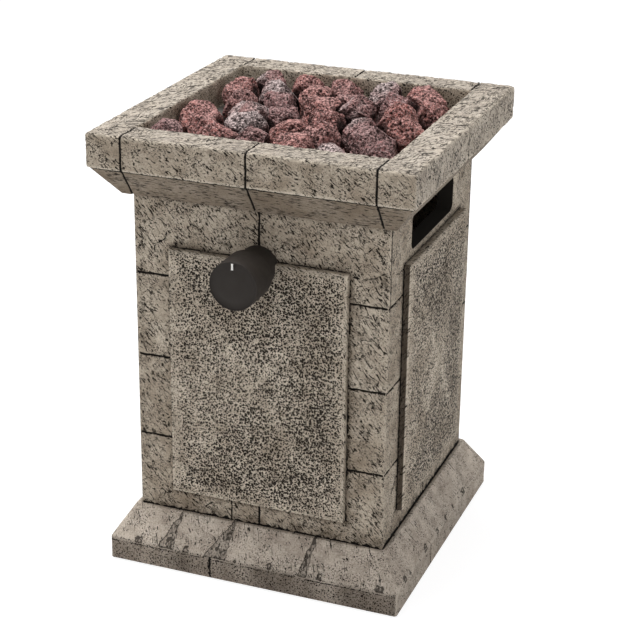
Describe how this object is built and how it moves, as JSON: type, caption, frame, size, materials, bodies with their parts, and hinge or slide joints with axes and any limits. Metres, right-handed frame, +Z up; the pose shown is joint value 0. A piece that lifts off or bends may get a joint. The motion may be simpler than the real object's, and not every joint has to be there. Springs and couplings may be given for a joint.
{
  "type": "tabletop gas fire pit",
  "caption": "Square cast-stone pedestal with a sloped plinth and a wide rim, holding lava rock over a gas ring burner, with a push-and-turn knob and a screw-in gas cylinder inside.",
  "frame": {"origin": "on the surface it stands on, under the middle of the square column", "axes": "+Z up, -Y out of the front where the knob is, +X to the right of someone facing the knob"},
  "size_m": [0.3, 0.3281, 0.4322],
  "materials": {
    "cast_stone": "rough, weathered",
    "lava_rock": "rough, porous",
    "black_plastic": "satin",
    "white_mark": "matte",
    "rubber": "matte",
    "steel": "brushed",
    "dark_steel": "matte black paint",
    "brass": "satin",
    "zinc_casting": "cast",
    "pipe_metal": "satin",
    "cylinder_paint": "gloss paint",
    "ceramic": "glazed",
    "copper_probe": "satin",
    "red_lead": "satin"
  },
  "bodies": {
    "pedestal": {"plinth": "cast_stone", "column": "cast_stone", "top_frame": "cast_stone", "rubber_feet": "rubber", "guide_plate": "dark_steel", "guide_plate_screws": "steel", "burner_pan": "steel", "pan_screws": "steel", "burner_ring": "steel", "burner_nut": "brass", "mixer_tube": "brass", "gas_jet": "brass", "jet_elbow": "brass", "heat_shield": "steel", "shield_posts": "steel", "shield_screws": "steel", "igniter_insulator": "ceramic", "igniter_tip": "steel", "igniter_lead": "red_lead", "piezo_unit": "black_plastic", "thermocouple": "copper_probe", "thermocouple_lead": "copper_probe", "gas_pipe": "pipe_metal", "pipe_nuts": "brass", "valve_bracket": "dark_steel", "bracket_screws": "steel", "valve_block": "zinc_casting", "valve_bonnet": "brass", "bonnet_nut": "brass", "knob_collar": "black_plastic", "regulator_base": "zinc_casting", "regulator_diaphragm": "rubber", "regulator_cap": "zinc_casting", "regulator_screws": "steel", "lava_rocks_lower": "lava_rock", "lava_rocks_upper": "lava_rock"},
    "valve": {"valve_plug": "brass", "stem_spring": "steel"},
    "control_knob": {"control_stem": "steel", "knob": "black_plastic", "knob_pointer": "white_mark"},
    "shutter": {"air_shutter": "steel"},
    "cylinder": {"gas_cylinder": "cylinder_paint", "cylinder_valve": "brass"}
  },
  "joints": [
    {"name": "knob_turn", "type": "hinge", "parent": "pedestal", "child": "valve", "pos_m": [0, 0, 0.31], "axis": [0, -1, 0], "range_deg": [0, 180]},
    {"name": "knob_push", "type": "slide", "parent": "valve", "child": "control_knob", "axis": [0, 1, 0], "range_m": [0, 0.003], "stiffness_N_per_m": 1500, "springref_m": -0.002, "deforming": ["stem_spring"]},
    {"name": "air_shutter_turn", "type": "hinge", "parent": "pedestal", "child": "shutter", "pos_m": [0, 0, 0.3055], "axis": [0, 0, 1], "range_deg": [0, 60]},
    {"name": "cylinder_out", "type": "slide", "parent": "pedestal", "child": "cylinder", "axis": [0, 0, -1], "range_m": [0, 0.26]}
  ]
}
